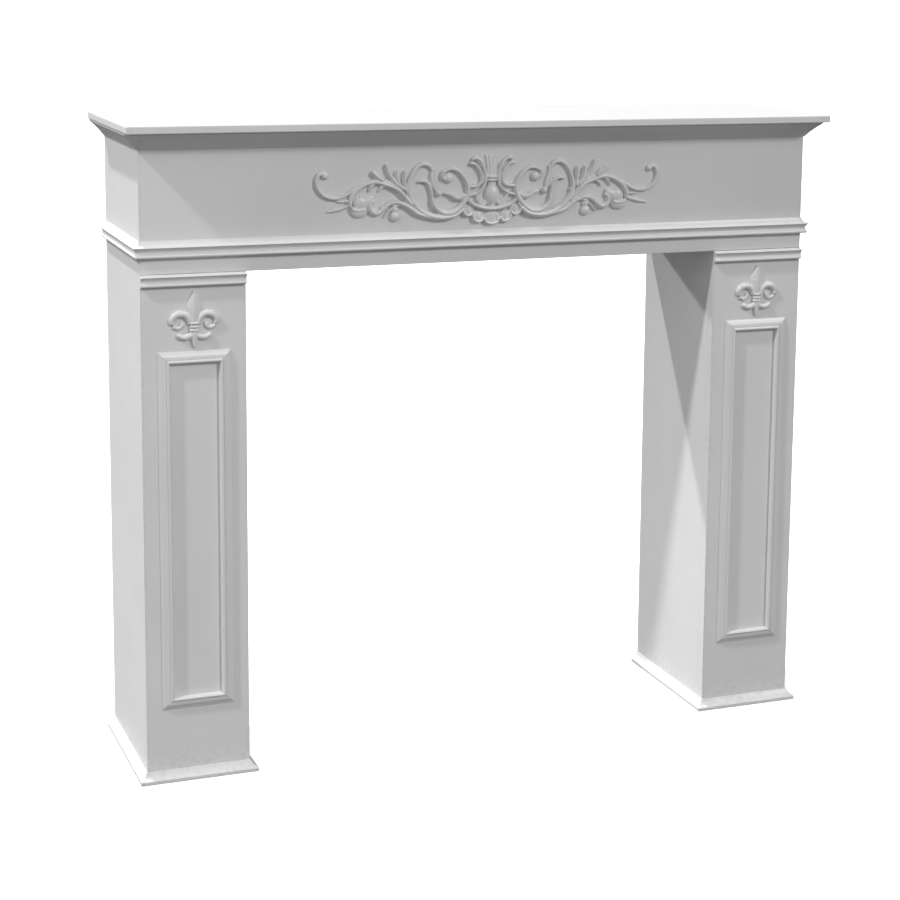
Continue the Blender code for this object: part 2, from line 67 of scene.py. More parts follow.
camera_data = bpy.data.cameras.new("camera")
camera_data.sensor_width = 36.0
camera_data.lens = LENS
camera_data.shift_x, camera_data.shift_y = LENS_SHIFT
camera = bpy.data.objects.new("camera", camera_data)
turn, tilt = radians(CAMERA_TURN), radians(CAMERA_TILT)
gaze = Vector((sin(turn) * cos(tilt), cos(turn) * cos(tilt), sin(tilt)))
camera.rotation_mode = "QUATERNION"
camera.rotation_quaternion = gaze.to_track_quat("-Z", "Y") @ Quaternion((0, 0, 1), radians(CAMERA_ROLL))
camera.location = CAMERA_PLACE
scene.collection.objects.link(camera)
scene.camera = camera
print("camera is", round((Vector(CAMERA_PLACE) - Vector((0, 0, 0.5))).length, 2), "m from the mantelpiece")

# %% [markdown]
# In the picture the white object stands on pure white. A studio gets that from a pale sweep that is lit
# more strongly than the object. A plain floor that runs past the view does the same here. It glows a
# little, so that only faint shadows stay where the feet meet it, and it throws no light back up: the
# undersides of the mouldings are dark in the picture.

# %% Floor
FLOOR_REACH = 60.0
FLOOR_GLOW = 0.60
scene.view_settings.view_transform = "Standard"
scene.view_settings.look = "None"

floor_mesh = bpy.data.meshes.new("floor")
floor_corners = [(x * FLOOR_REACH, y * FLOOR_REACH, 0.0) for x, y in ((-1, -1), (1, -1), (1, 1), (-1, 1))]
floor_mesh.from_pydata(floor_corners, [], [(0, 1, 2, 3)])
floor = bpy.data.objects.new("floor", floor_mesh)
floor_paint = bpy.data.materials.new("pale_floor")
floor_paint.use_nodes = True
floor_shader = floor_paint.node_tree.nodes["Principled BSDF"]
floor_look = {"Base Color": (0.95, 0.95, 0.95, 1.0), "Roughness": 0.9, "Specular IOR Level": 0.0,
              "Emission Color": (1.0, 1.0, 1.0, 1.0), "Emission Strength": FLOOR_GLOW}
for socket, value in floor_look.items():
    floor_shader.inputs[socket].default_value = value
floor_mesh.materials.append(floor_paint)
floor.visible_diffuse = False
floor.visible_glossy = False
scene.collection.objects.link(floor)
print("floor reaches", FLOOR_REACH, "m each way")

# %% [markdown]
# Light decides how relief reads. The picture's own shadows tell where its lamps stood: crossed shadow lines
# on the inside of the far leg come from three lamps on the left, two of them behind the object. A soft key
# from the front right models the carving. Suns light the far floor as much as the object, so they stand for
# all four, and a narrow sun keeps a shadow line crisp where a wide one blurs it.

# %% Suns
def soft_sun(name, towards, strength, spread):
    """A sun that shines along a direction, with its apparent width in degrees."""
    data = bpy.data.lights.new(name, "SUN")
    data.energy = strength
    data.angle = radians(spread)
    lamp = bpy.data.objects.new(name, data)
    lamp.rotation_mode = "QUATERNION"
    lamp.rotation_quaternion = Vector(towards).normalized().to_track_quat("-Z", "Y")
    scene.collection.objects.link(lamp)
    return lamp


SUNS = {"high_behind_left": ((0.33, -0.55, -1.0), 2.83, 2.5),
        "front_left": ((0.90, 0.263, -1.0), 1.44, 3.5),
        "low_behind_left": ((1.20, -2.20, -1.0), 1.25, 3.0),
        "key": ((-0.55, 0.68, -0.48), 1.20, 10.0)}
for sun_name, (towards, strength, spread) in SUNS.items():
    soft_sun(sun_name, towards, strength, spread)
print("suns:", list(SUNS))

# %% [markdown]
# The left leg is a little brighter than the right one in the picture, which a sun can't do, because a sun
# is as strong everywhere. A large lamp near the left leg falls off with distance.

# %% Large lamp
LAMP_PLACE = (-2.0, -2.2, 2.2)
LAMP_SIZE = 2.2
LAMP_POWER = 17.0

lamp_data = bpy.data.lights.new("large_lamp", "AREA")
lamp_data.size = LAMP_SIZE
lamp_data.energy = LAMP_POWER
large_lamp = bpy.data.objects.new("large_lamp", lamp_data)
large_lamp.location = LAMP_PLACE
left_leg_middle = (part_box("leg_left_front")[0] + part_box("leg_left_front")[1]) / 2
large_lamp.rotation_mode = "QUATERNION"
large_lamp.rotation_quaternion = (left_leg_middle - Vector(LAMP_PLACE)).to_track_quat("-Z", "Y")
large_lamp.visible_camera = False
scene.collection.objects.link(large_lamp)
print("lamp stands", round((left_leg_middle - Vector(LAMP_PLACE)).length, 2), "m from the left leg")

# %% [markdown]
# Paint is written as sums on noise, so Python's own signs are taught to work on a node's output. An
# expression such as 1 - mask * 0.3 then adds the Math nodes by itself. The same sums work on the numbers
# that flow through Geometry Nodes, so one class serves both.

# %% Sums on node outputs
class Wire:
    """One output of a node. Signs between wires and numbers add Math nodes."""

    def __init__(self, bench, output):
        self.bench = bench
        self.output = output

    def sum(self, operation, first, second=None):
        values = {i: value for i, value in enumerate((first, second)) if value is not None}
        return self.bench.node("ShaderNodeMath", {"operation": operation}, values)

    def __add__(self, other):
        return self.sum("ADD", self, other)

    def __radd__(self, other):
        return self.sum("ADD", other, self)

    def __sub__(self, other):
        return self.sum("SUBTRACT", self, other)

    def __rsub__(self, other):
        return self.sum("SUBTRACT", other, self)

    def __mul__(self, other):
        return self.sum("MULTIPLY", self, other)

    def __rmul__(self, other):
        return self.sum("MULTIPLY", other, self)

    def __truediv__(self, other):
        return self.sum("DIVIDE", self, other)

    def size(self):
        return self.sum("ABSOLUTE", self)

    def above(self, edge, softness):
        """0 below the edge and 1 above it, with a soft step between."""
        low, high = edge - softness / 2, edge + softness / 2
        return self.bench.node("ShaderNodeMapRange", {"interpolation_type": "SMOOTHSTEP"},
                               {"Value": self, "From Min": low, "From Max": high})


print("signs that work on a wire: + - * /")

# %% [markdown]
# Every other node comes from one method, which takes the kind of node, then its settings, and last what
# goes into its sockets. The settings come first because some of them change which sockets a node has.

# %% A bench to lay nodes on
class Bench:
    """Adds nodes to one tree."""

    def __init__(self, tree):
        self.tree = tree

    def node(self, kind, settings=None, values=None, output=0):
        made = self.tree.nodes.new(kind)
        for name, value in (settings or {}).items():
            setattr(made, name, value)
        for name, value in (values or {}).items():
            if isinstance(value, Wire):
                self.tree.links.new(value.output, made.inputs[name])
            else:
                made.inputs[name].default_value = value
        return Wire(self, made.outputs[output])

    def parts(self, vector):
        """The three numbers of a vector, as three wires."""
        split = self.node("ShaderNodeSeparateXYZ", None, {0: vector})
        return [Wire(self, output) for output in split.output.node.outputs]


print("a bench lays nodes and links them")

# %% [markdown]
# The first thing on the bench is the sky, which fills the shadows. It is brighter overhead than below, so
# that faces that look down stay darker than faces that look up, and the carving keeps its depth.

# %% Sky
SKY_BELOW, SKY_ABOVE = 0.16, 0.19

world = bpy.data.worlds.new("sky")
scene.world = world
world.use_nodes = True
sky_bench = Bench(world.node_tree)
height = sky_bench.parts(sky_bench.node("ShaderNodeTexCoord", output="Generated"))[2]
strength = SKY_BELOW + (SKY_ABOVE - SKY_BELOW) * height.above(0.0, 2.0)
background = world.node_tree.nodes["Background"]
background.inputs["Color"].default_value = (1.0, 1.0, 1.0, 1.0)
world.node_tree.links.new(strength.output, background.inputs["Strength"])
print("the sky goes from", SKY_BELOW, "below to", SKY_ABOVE, "overhead")

# %% [markdown]
# Sizes of the surround, as the model has them. The paint, mouldings and ornaments below are placed from
# these.

# %% Sizes
FACE_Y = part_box("header_front")[0].y
BACK_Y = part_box("header_left")[1].y
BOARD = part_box("header_front")[1].y - FACE_Y
HALF_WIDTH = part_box("header_front")[1].x
LEG_INSIDE_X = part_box("leg_right_front")[0].x
LEG_CENTRE_X = (LEG_INSIDE_X + HALF_WIDTH) / 2
SHELF_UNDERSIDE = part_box("shelf")[0].z
OPENING_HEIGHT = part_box("header_front")[0].z
JOINT_GAP = 0.0003
print("opening:", round(2000 * LEG_INSIDE_X, 1), "by", round(1000 * OPENING_HEIGHT, 1), "mm")

# %% [markdown]
# The real boxes are only painted where they show. Behind, inside the hollow legs and header, the board
# keeps its thin primer. A second material would need a cut between faces, so the paint asks where a point
# lies instead: in the hollow of a leg, or in the hollow of the header. Object coordinates are metres here,
# because every piece has its origin at the frame's own.

# %% Where the primer shows
MASK_STEP = 0.0006


def hollow_mask(bench, place):
    """1 inside the hollows of the legs and of the header, and 0 on every face that shows."""
    x, y, z = bench.parts(place)
    out = x.size()
    behind = y.above(FACE_Y + BOARD - MASK_STEP, MASK_STEP)
    above_opening = z.above(OPENING_HEIGHT + BOARD - MASK_STEP, MASK_STEP)
    inside_outer_board = 1.0 - out.above(HALF_WIDTH - BOARD + MASK_STEP, MASK_STEP)
    past_inner_board = out.above(LEG_INSIDE_X + BOARD - MASK_STEP, MASK_STEP)
    below_header = 1.0 - z.above(OPENING_HEIGHT, MASK_STEP)
    return behind * inside_outer_board * (above_opening + past_inner_board * below_header)


print("the board is", round(1000 * BOARD, 1), "mm thick, so the hollows start there")

# %% [markdown]
# Hands and shoes wear a mantelpiece in two places: the upright corners, where the coat thins, and the
# lowest few centimetres, where it is scuffed. Both are found from the place of a point, and broken up with
# noise.

# %% Where the paint is worn
CORNER_WEAR_WIDTH = 0.0035
SCUFF_HEIGHT, SCUFF_FADE = 0.05, 0.06
CORNER_BLOTCHES, FOOT_BLOTCHES = (0.50, 0.15), (0.56, 0.14)


def wear_masks(bench, place, blotches):
    """The worn corners and the scuffed foot, each from 0 to 1."""
    x, y, z = bench.parts(place)
    near_front = 1.0 - y.above(FACE_Y + CORNER_WEAR_WIDTH, CORNER_WEAR_WIDTH)
    near_outer = x.size().above(HALF_WIDTH - CORNER_WEAR_WIDTH, CORNER_WEAR_WIDTH)
    near_inner = 1.0 - (x.size() - LEG_INSIDE_X).size().above(CORNER_WEAR_WIDTH, CORNER_WEAR_WIDTH)
    near_inner = near_inner * (1.0 - z.above(OPENING_HEIGHT, MASK_STEP))
    corner = near_front * (near_outer + near_inner) * blotches.above(*CORNER_BLOTCHES)
    foot = (1.0 - z.above(SCUFF_HEIGHT, SCUFF_FADE)) * blotches.above(*FOOT_BLOTCHES)
    return corner, foot


print("scuffs reach", round(1000 * SCUFF_HEIGHT), "mm up the feet")

# %% [markdown]
# The paint is a satin white, sprayed on primed fibreboard. A thick coat is a little lighter than a thin
# one, the primer is a warm grey, and a scuff lies between white and primer. Colours are mixed by a mask,
# which is any wire that goes from 0 to 1.

# %% Colours of the paint
WHITE = 0.80
THICK_COAT, THIN_COAT, WORN_COAT = 1.03, 0.95, 0.80
PRIMER = (0.50, 0.49, 0.46, 1.0)
SCUFF = (0.60, 0.585, 0.56, 1.0)


def grey(share):
    """White paint at a share of its full lightness."""
    return (WHITE * share, WHITE * share, WHITE * share, 1.0)


def mixed(bench, mask, first, second):
    """A colour that goes from the first to the second as the mask goes from 0 to 1."""
    settings = {"data_type": "RGBA", "clamp_factor": True}
    return bench.node("ShaderNodeMix", settings, {0: mask, 6: first, 7: second}, output=2)


print("the white paint returns", WHITE, "of the light")

# %% [markdown]
# Close up, sprayed paint has a fine orange peel, a cloudier coat in broad patches, and a few specks of dust
# under the film. All of it is noise on the object's own coordinates, so it has a true size on every piece
# and turns every corner. An image would need unwrapped faces and would stretch on the carvings.

# %% Unevenness of the paint
CLOUDS_PER_METRE = 6.0
GRAIN_PER_METRE = 95.0
PEEL_PER_METRE = 420.0
SPECKS_PER_METRE = 140.0
SPECK_RADIUS, SPECK_SOFTNESS = 0.07, 0.05


def unevenness(bench, place):
    """Broad clouds, a finer grain, the dimples of the orange peel, and specks of dust."""
    def noise(per_metre, detail, gain=0.5):
        return bench.node("ShaderNodeTexNoise", None,
                          {"Vector": place, "Scale": per_metre, "Detail": detail, "Roughness": gain})

    cells = bench.node("ShaderNodeTexVoronoi", {"feature": "F1"},
                       {"Vector": place, "Scale": SPECKS_PER_METRE})
    specks = 1.0 - cells.above(SPECK_RADIUS, SPECK_SOFTNESS)
    clouds, grain = noise(CLOUDS_PER_METRE, 3.0), noise(GRAIN_PER_METRE, 4.0, 0.65)
    return clouds, grain, noise(PEEL_PER_METRE, 2.0), specks


print("orange peel:", round(1000 / PEEL_PER_METRE, 1), "mm from dimple to dimple")

# %% [markdown]
# The paint itself puts these together. Where the coat is thin or worn it is also a little duller, and the
# boards show their primer in the hollows. Every piece gets the same paint with its own sheen.

# %% Sprayed paint
def sprayed_paint(name, roughness=0.42, peel=0.00006, primed=False):
    """Satin white paint. Peel is the depth of its texture in metres."""
    material = bpy.data.materials.new(name)
    material.use_nodes = True
    bench = Bench(material.node_tree)
    shader = material.node_tree.nodes["Principled BSDF"]
    place = bench.node("ShaderNodeTexCoord", output="Object")
    clouds, grain, dimples, speck = unevenness(bench, place)
    corner, foot = wear_masks(bench, place, grain)
    thin_coat = clouds.above(0.5, 0.5) * 0.65 + grain * 0.35
    colour = mixed(bench, thin_coat, grey(THICK_COAT), grey(THIN_COAT))
    colour = mixed(bench, speck * 0.35 + corner * 0.30, colour, grey(WORN_COAT))
    colour = mixed(bench, foot * 0.30, colour, SCUFF)
    sheen = roughness + (grain - 0.5) * 0.16 + (clouds - 0.5) * 0.10
    sheen = sheen + speck * 0.1 + corner * 0.08 + foot * 0.12
    if primed:
        hidden = hollow_mask(bench, place)
        colour = mixed(bench, hidden, colour, PRIMER)
        sheen = sheen + hidden * 0.30
    bump = bench.node("ShaderNodeBump", None,
                      {"Height": dimples + grain * 0.8 + speck * 0.6, "Strength": 1.0, "Distance": peel})
    for wire, socket in ((colour, "Base Color"), (sheen, "Roughness"), (bump, "Normal")):
        bench.tree.links.new(wire.output, shader.inputs[socket])
    return material


board_paint = sprayed_paint("white_board_paint", primed=True)
moulding_paint = sprayed_paint("white_moulding_paint", roughness=0.38)
ornament_paint = sprayed_paint("white_ornament_paint", roughness=0.34, peel=0.00004)
shelf_paint = sprayed_paint("white_shelf_paint", roughness=0.36)
print("paints:", [m.name for m in (board_paint, moulding_paint, ornament_paint, shelf_paint)])

# %% [markdown]
# The flat boards of the boxes keep their CAD solids, because a flat board has no finer shape to add. They
# only change their material.

# %% Paint the boards
def repaint(piece, material):
    piece.data.materials.clear()
    piece.data.materials.append(material)


for name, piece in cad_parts.items():
    if name.startswith(("header", "leg")):
        repaint(piece, board_paint)
    elif name == "shelf":
        repaint(piece, shelf_paint)
print("boards painted:", sum(name.startswith(("header", "leg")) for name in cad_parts))

# %% [markdown]
# A moulding is one section pulled along a line, and cut at the ends: square, or on a mitre where it turns a
# corner. Bevelled curves could do it, but they pinch at corners. Geometry Nodes do it well, because the
# same tree then serves every run with other numbers. First the tree gets its named inputs.

# %% Inputs of the moulding tree
MOULDING_INPUTS = (("Section", "NodeSocketGeometry"), ("Length", "NodeSocketFloat"),
                   ("Left mitre", "NodeSocketFloat"), ("Right mitre", "NodeSocketFloat"),
                   ("Frame mitre", "NodeSocketFloat"), ("Gap", "NodeSocketFloat"),
                   ("Crisp angle", "NodeSocketFloat"), ("Paint", "NodeSocketMaterial"))


def new_tree(name, inputs, result):
    """A Geometry Nodes tree with its inputs as wires by name, and the node that takes the result."""
    tree = bpy.data.node_groups.new(name, "GeometryNodeTree")
    for input_name, kind in inputs:
        tree.interface.new_socket(input_name, in_out="INPUT", socket_type=kind)
    tree.interface.new_socket(result, in_out="OUTPUT", socket_type="NodeSocketGeometry")
    bench = Bench(tree)
    entry = tree.nodes.new("NodeGroupInput")
    given = {input_name: Wire(bench, entry.outputs[input_name]) for input_name, kind in inputs}
    return tree, bench, given, tree.nodes.new("NodeGroupOutput")


print("inputs:", [name for name, kind in MOULDING_INPUTS])

# %% [markdown]
# The section is a flat face. Extruding it leaves the starting end open, so a flipped copy of the face
# closes it, and the doubled points are merged.

# %% Pull the section out to its length
def pull_out(bench, section, length):
    """A closed bar along x, from 0 to its length."""
    reach = bench.node("ShaderNodeCombineXYZ", None, {0: length})
    pulled = bench.node("GeometryNodeExtrudeMesh", {"mode": "FACES"},
                        {"Mesh": section, "Offset": reach, "Offset Scale": 1.0, "Individual": False})
    start = bench.node("GeometryNodeFlipFaces", None, {"Mesh": section})
    joined = bench.node("GeometryNodeJoinGeometry")
    join_input = joined.output.node.inputs[0]
    bench.tree.links.new(pulled.output, join_input)
    bench.tree.links.new(start.output, join_input)
    return bench.node("GeometryNodeMergeByDistance", None, {"Geometry": joined, "Distance": 0.000001})


print("a section becomes a closed bar")

# %% [markdown]
# A mitre is a slant: each point of the end moves along the run by as far as it stands out from the wall. In
# a picture frame it moves by how far in it lies instead. A mitred run also steps back by a hair at each end,
# as real joints do.

# %% Slant the ends
def slant_ends(bench, bar, given):
    """Centres the bar and slants both of its ends."""
    along, across, up = bench.parts(bench.node("GeometryNodeInputPosition"))
    at_right = (along / given["Length"]).above(0.5, 0.01)
    end_sign = at_right * 2.0 - 1.0
    mitre = given["Left mitre"] * (1.0 - at_right) + given["Right mitre"] * at_right
    has_mitre = (mitre + given["Frame mitre"]).above(0.5, 0.1)
    slant = end_sign * (0.0 - across) * mitre - end_sign * up * given["Frame mitre"]
    shift = slant - end_sign * given["Gap"] * has_mitre - given["Length"] * 0.5
    offset = bench.node("ShaderNodeCombineXYZ", None, {0: shift})
    return bench.node("GeometryNodeSetPosition", None, {"Geometry": bar, "Offset": offset})


print("a mitre slants each end by the moulding's own projection")

# %% [markdown]
# Hollows are shaded smooth and arrises stay crisp, by the angle between faces. The tree ends in Realize
# Instances and Set Material, so that what it makes is a plain painted mesh.

# %% The whole moulding tree
def moulding_tree():
    tree, bench, given, result = new_tree("length_of_moulding", MOULDING_INPUTS, "Moulding")
    bar = slant_ends(bench, pull_out(bench, given["Section"], given["Length"]), given)
    smooth = bench.node("GeometryNodeSetShadeSmooth", {"domain": "FACE"},
                        {"Geometry": bar, "Shade Smooth": True})
    angle = bench.node("GeometryNodeInputMeshEdgeAngle")
    sharp = bench.node("FunctionNodeCompare", {"data_type": "FLOAT", "operation": "GREATER_THAN"},
                       {0: angle, 1: given["Crisp angle"]})
    crisp = bench.node("GeometryNodeSetShadeSmooth", {"domain": "EDGE"},
                       {"Geometry": smooth, "Selection": sharp, "Shade Smooth": False})
    real = bench.node("GeometryNodeRealizeInstances", None, {"Geometry": crisp})
    painted = bench.node("GeometryNodeSetMaterial", None, {"Geometry": real, "Material": given["Paint"]})
    tree.links.new(painted.output, result.inputs[0])
    return tree


MOULDING_TREE = moulding_tree()
print("the moulding tree has", len(MOULDING_TREE.nodes), "nodes")

# %% [markdown]
# Each moulding is made the same way: its section is drawn as a flat face that stands across the run, the
# tree gives it its length, and the finished mesh is then laid where its CAD solid is. The run rides on the
# same body and stands for that solid.

# %% Run a moulding
CRISP_DEGREES = 28
MITRE_GAP = JOINT_GAP * 0.7071


def run_moulding(node, section, length, place, left=0.0, right=0.0, frame_mitre=0.0):
    """Section points are projection and height. Place is a matrix from the run's own axes to the frame's."""
    mesh = bpy.data.meshes.new("section")
    mesh.from_pydata([(0.0, -out, up) for out, up in section], [], [tuple(reversed(range(len(section))))])
    holder = bpy.data.objects.new("holder", mesh)
    scene.collection.objects.link(holder)
    modifier = holder.modifiers.new("moulding", "NODES")
    modifier.node_group = MOULDING_TREE
    given = {"Length": length, "Left mitre": left, "Right mitre": right, "Frame mitre": frame_mitre,
             "Gap": MITRE_GAP, "Crisp angle": radians(CRISP_DEGREES), "Paint": moulding_paint}
    for item in MOULDING_TREE.interface.items_tree:
        if item.in_out == "INPUT" and item.name in given:
            modifier[item.identifier] = given[item.name]
    ready = holder.evaluated_get(bpy.context.evaluated_depsgraph_get())
    made = bpy.data.meshes.new_from_object(ready)
    bpy.data.objects.remove(holder)
    made.transform(place)
    piece = bpy.data.objects.new(node + "_run", made)
    scene.collection.objects.link(piece)
    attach(piece, "root")
    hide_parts(node)
    return piece


print("edges sharper than", CRISP_DEGREES, "degrees stay crisp")

# %% [markdown]
# A run's own axes are along it, back into the wall, and up its section. The matrix below turns them to
# where the run goes. All three are kept right-handed, because a mirrored matrix would turn the faces inside
# out.

# %% Axes of a run
X, Y, Z = Vector((1, 0, 0)), Vector((0, 1, 0)), Vector((0, 0, 1))


def axes(along, back, up, origin):
    """The matrix of a run: along it, back into the wall, and up its section."""
    return Matrix.Translation(origin) @ Matrix((along, back, up)).transposed().to_4x4()


print("right-handed:", axes(X, Y, Z, (0, 0, 0)).determinant() > 0)

# %% [markdown]
# Sections are drawn from a few hollows and rounds. Real mouldings are never knife sharp, because paint fills
# the corners, so each hollow gets many steps and the arrises get a small round.

# %% Arcs for the sections
def hollow(a, b, sag, steps=18):
    """Points from a to b on half a sine wave that bows by sag to the left of the way from a to b."""
    a, b = Vector(a), Vector(b)
    way = b - a
    side_way = Vector((-way.y, way.x)).normalized()
    return [tuple(a + way * (i / steps) + side_way * sag * sin(pi * i / steps)) for i in range(steps + 1)]


def rounded(points, radius=0.0004, steps=3):
    """The same outline with every sharp corner replaced by a small arc."""
    points = [Vector(point) for point in points]
    result = []
    for before, corner, after in zip(points[-1:] + points[:-1], points, points[1:] + points[:1]):
        way_in, way_out = corner - before, after - corner
        if way_in.length < 1e-9 or way_out.length < 1e-9:
            continue
        reach = min(radius, way_in.length / 2, way_out.length / 2)
        if way_in.angle(way_out) < radians(20):
            result.append(tuple(corner))
            continue
        start, end = corner - way_in.normalized() * reach, corner + way_out.normalized() * reach
        for i in range(steps + 1):
            t = i / steps
            result.append(tuple(start * (1 - t) ** 2 + corner * 2 * t * (1 - t) + end * t * t))
    return result


print("a square corner becomes", len(rounded([(0, 0), (1, 0), (1, 1), (0, 1)])) // 4, "points")

# %% [markdown]
# The cove is the moulding right under the shelf, and makes the shelf look carried. On the real piece it is
# an almost flat slope with a thin fillet at the top, planed from a strip and mitred at both front corners.

# %% Cove under the shelf
COVE_HEIGHT, COVE_PROJECTION, COVE_FILLET, COVE_TOE, COVE_HOLLOW = 0.027, 0.024, 0.003, 0.0015, 0.0012
cove_top = SHELF_UNDERSIDE - JOINT_GAP
cove_bottom = SHELF_UNDERSIDE - COVE_HEIGHT
cove_section = rounded(
    [(JOINT_GAP, cove_top), (COVE_PROJECTION, cove_top)]
    + hollow((COVE_PROJECTION, cove_top - COVE_FILLET), (COVE_TOE, cove_bottom), -COVE_HOLLOW)
    + [(JOINT_GAP, cove_bottom)])


def run_round_header(name, section):
    """One moulding along the header's front and back along both of its sides."""
    depth = BACK_Y - FACE_Y
    middle_y = FACE_Y + depth / 2
    run_moulding(name + "_front", section, 2 * HALF_WIDTH, axes(X, Y, Z, (0, FACE_Y, 0)), 1.0, 1.0)
    run_moulding(name + "_left", section, depth, axes(-Y, X, Z, (-HALF_WIDTH, middle_y, 0)), 0.0, 1.0)
    run_moulding(name + "_right", section, depth, axes(Y, -X, Z, (HALF_WIDTH, middle_y, 0)), 1.0, 0.0)


run_round_header("cove", cove_section)
print("cove section has", len(cove_section), "points")

# %% [markdown]
# A nosed moulding with a lip runs round the header over the opening, and a shorter one caps each leg. From
# the bottom up it has a round nose, a hollow face, a thin lip and a hollow top that sheds dust. The nose is
# set back behind the lip, so that the lip throws a fine shadow on the hollow.

# %% Section with a lip
LIP_THICKNESS, NOSE_RADIUS, NOSE_SET_BACK = 0.0016, 0.0022, 0.0022
FACE_HOLLOW_SHARE, WEATHERING_HOLLOW_SHARE = 0.30, 0.25
NOSE_STEPS, WEATHERING_STEPS = 10, 8


def lipped_section(bottom, face, weathering, projection):
    """Projection and height, up from the bottom."""
    lip_top = bottom + face
    reach = projection - NOSE_SET_BACK
    turns = [radians(-90 + 90 * i / NOSE_STEPS) for i in range(NOSE_STEPS + 1)]
    nose = [(reach - NOSE_RADIUS + NOSE_RADIUS * cos(t), bottom + NOSE_RADIUS + NOSE_RADIUS * sin(t))
            for t in turns]
    face_top = (projection - 0.6 * LIP_THICKNESS, lip_top - LIP_THICKNESS)
    face_hollow = hollow((reach, bottom + 1.6 * NOSE_RADIUS), face_top, FACE_HOLLOW_SHARE * projection)
    lip = [(projection, lip_top - 0.6 * LIP_THICKNESS)]
    slope = hollow((projection - 0.5 * LIP_THICKNESS, lip_top), (2 * JOINT_GAP, lip_top + weathering),
                   WEATHERING_HOLLOW_SHARE * weathering, WEATHERING_STEPS)
    outline = [(JOINT_GAP, bottom)] + nose + face_hollow + lip + slope + [(JOINT_GAP, lip_top + weathering)]
    return rounded(outline, 0.0003)


print("lip", 1000 * LIP_THICKNESS, "mm thick, over a nose of", 1000 * NOSE_RADIUS, "mm")

# %% [markdown]
# The band goes round three sides with mitres. The caps sit on the fronts of the legs alone and are cut
# square at the leg's two edges, as the picture shows.

# %% Band over the opening, and the caps of the legs
BAND_BOTTOM = OPENING_HEIGHT + 0.026
BAND_FACE, BAND_WEATHERING, BAND_PROJECTION = 0.0174, 0.0095, 0.0110
CAP_FACE, CAP_WEATHERING, CAP_PROJECTION = 0.0165, 0.0025, 0.0095
BAND_TOP = BAND_BOTTOM + BAND_FACE + BAND_WEATHERING
CAP_BOTTOM = OPENING_HEIGHT - CAP_FACE - CAP_WEATHERING
SIDES = (("left", -1), ("right", 1))

run_round_header("band", lipped_section(BAND_BOTTOM, BAND_FACE, BAND_WEATHERING, BAND_PROJECTION))
cap_section = lipped_section(CAP_BOTTOM, CAP_FACE, CAP_WEATHERING, CAP_PROJECTION)
for word, sign in SIDES:
    run_moulding("cap_" + word, cap_section, HALF_WIDTH - LEG_INSIDE_X,
                 axes(X, Y, Z, (sign * LEG_CENTRE_X, FACE_Y, 0)))
print("band from", round(1000 * BAND_BOTTOM, 1), "to", round(1000 * BAND_TOP, 1), "mm up")

# %% [markdown]
# A low plinth moulding hides the joint between each leg and the floor. It is a square lip with a hollow
# slope above it, and runs round the three faces of the leg that show.

# %% Plinth round each foot
BASE_HEIGHT, BASE_LIP, BASE_PROJECTION, BASE_TOE, BASE_HOLLOW = 0.018, 0.006, 0.012, 0.0015, 0.0018
base_section = rounded([(JOINT_GAP, 0.0), (BASE_PROJECTION, 0.0)]
                       + hollow((BASE_PROJECTION, BASE_LIP), (BASE_TOE, BASE_HEIGHT), BASE_HOLLOW)
                       + [(JOINT_GAP, BASE_HEIGHT)])
for word, sign in SIDES:
    run_moulding("base_" + word + "_front", base_section, HALF_WIDTH - LEG_INSIDE_X,
                 axes(X, Y, Z, (sign * LEG_CENTRE_X, FACE_Y, 0)), 1.0, 1.0)
    for place, x, faces in (("outer", HALF_WIDTH, sign), ("inner", LEG_INSIDE_X, -sign)):
        ends = (1.0, 0.0) if faces > 0 else (0.0, 1.0)
        run_moulding("base_" + word + "_" + place, base_section, BACK_Y - FACE_Y,
                     axes(Y * faces, -X * faces, Z, (sign * x, (FACE_Y + BACK_Y) / 2, 0)), *ends)
print("plinth is", 1000 * BASE_HEIGHT, "mm high")

# %% [markdown]
# Each leg is flat, and a picture-frame moulding makes it look panelled: four sticks, mitred at the corners.
# A stick rises in a slope at its outer edge, runs flat, and ends in a bead that falls steeply to the panel.
# The small quirk beside the bead holds a dark line.

# %% Section of a picture-frame stick
STICK_WIDTH, STICK_EDGE, STICK_SLOPE, STICK_SLOPE_HOLLOW = 0.020, 0.0012, 0.0070, 0.0005
STICK_SHOULDER, STICK_FACE_HEIGHT, STICK_QUIRK = 0.0055, 0.0060, 0.0006
BEAD_RADIUS, BEAD_CENTRE, BEAD_STEPS, STICK_FALL = 0.0026, 0.0052, 16, 0.0018

bead_middle = STICK_WIDTH - STICK_FALL - BEAD_RADIUS
bead_turns = [pi * i / BEAD_STEPS for i in range(BEAD_STEPS + 1)]
bead = [(bead_middle - BEAD_RADIUS * cos(t), BEAD_CENTRE + BEAD_RADIUS * sin(t)) for t in bead_turns]
stick_outline = ([(0.0, JOINT_GAP)]
                 + hollow((0.0, STICK_EDGE), (STICK_SLOPE, STICK_SHOULDER), -STICK_SLOPE_HOLLOW)
                 + [(bead_middle - BEAD_RADIUS - STICK_QUIRK, STICK_FACE_HEIGHT)]
                 + bead + [(STICK_WIDTH, STICK_EDGE), (STICK_WIDTH, JOINT_GAP)])
stick_section = list(reversed([(out, inward) for inward, out in rounded(stick_outline, 0.0003)]))
print("stick is", 1000 * STICK_WIDTH, "by", 1000 * (BEAD_CENTRE + BEAD_RADIUS), "mm")

# %% [markdown]
# The same tree makes the sticks. A stick's section lies along the way into the frame instead of upwards, so
# it takes the frame mitre, and each stick turns its inner side to the middle of the leg.

